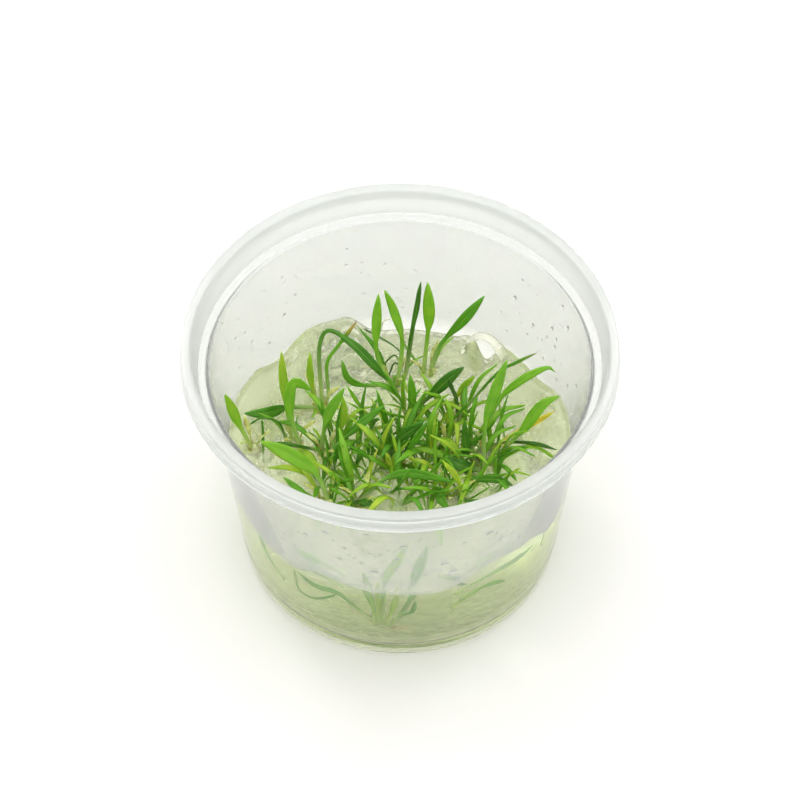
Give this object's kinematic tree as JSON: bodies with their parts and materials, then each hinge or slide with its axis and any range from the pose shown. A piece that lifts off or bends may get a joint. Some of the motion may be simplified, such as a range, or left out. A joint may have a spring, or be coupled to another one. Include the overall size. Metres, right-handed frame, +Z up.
{
  "type": "tissue culture dwarf cryptocoryne in its cup",
  "caption": "Open tapered plastic tissue-culture cup holding a lumpy block of clear agar gel, in which small ribbon-leaved aquarium plants stand in short rosettes.",
  "frame": {"origin": "centre of the cup's underside, where it stands", "axes": "+Z up out of the cup's mouth, +Y towards the wall where the tallest leaves stand, +X to the right"},
  "size_m": [0.1, 0.1, 0.07],
  "materials": {
    "cup_plastic": "translucent moulded polypropylene, satin gloss",
    "agar_gel": "clear pale yellow-green gel, wet and lumpy",
    "crown_tissue": "pale yellow-green plant tissue",
    "leaf_green": "smooth, softly shining green leaf"
  },
  "bodies": {
    "root": {"cup": "cup_plastic", "gel": "agar_gel", "crown_01": "crown_tissue", "crown_02": "crown_tissue", "crown_03": "crown_tissue", "crown_04": "crown_tissue", "crown_05": "crown_tissue", "crown_06": "crown_tissue", "crown_07": "crown_tissue", "crown_08": "crown_tissue", "crown_09": "crown_tissue", "crown_10": "crown_tissue", "crown_11": "crown_tissue", "crown_12": "crown_tissue", "crown_13": "crown_tissue", "crown_14": "crown_tissue", "leaf_01": "leaf_green", "leaf_02": "leaf_green", "leaf_03": "leaf_green", "leaf_04": "leaf_green", "leaf_05": "leaf_green", "leaf_06": "leaf_green", "leaf_07": "leaf_green", "leaf_08": "leaf_green", "leaf_09": "leaf_green", "leaf_10": "leaf_green", "leaf_11": "leaf_green", "leaf_12": "leaf_green", "leaf_13": "leaf_green", "leaf_14": "leaf_green", "leaf_15": "leaf_green", "leaf_16": "leaf_green", "leaf_17": "leaf_green", "leaf_18": "leaf_green", "leaf_19": "leaf_green", "leaf_20": "leaf_green", "leaf_21": "leaf_green", "leaf_22": "leaf_green", "leaf_23": "leaf_green", "leaf_24": "leaf_green", "leaf_25": "leaf_green", "leaf_26": "leaf_green", "leaf_27": "leaf_green", "leaf_28": "leaf_green", "leaf_29": "leaf_green", "leaf_30": "leaf_green", "leaf_31": "leaf_green", "leaf_32": "leaf_green", "leaf_33": "leaf_green", "leaf_34": "leaf_green", "leaf_35": "leaf_green", "leaf_36": "leaf_green", "leaf_37": "leaf_green", "leaf_38": "leaf_green", "leaf_39": "leaf_green", "leaf_40": "leaf_green", "leaf_41": "leaf_green", "leaf_42": "leaf_green"}
  },
  "joints": []
}
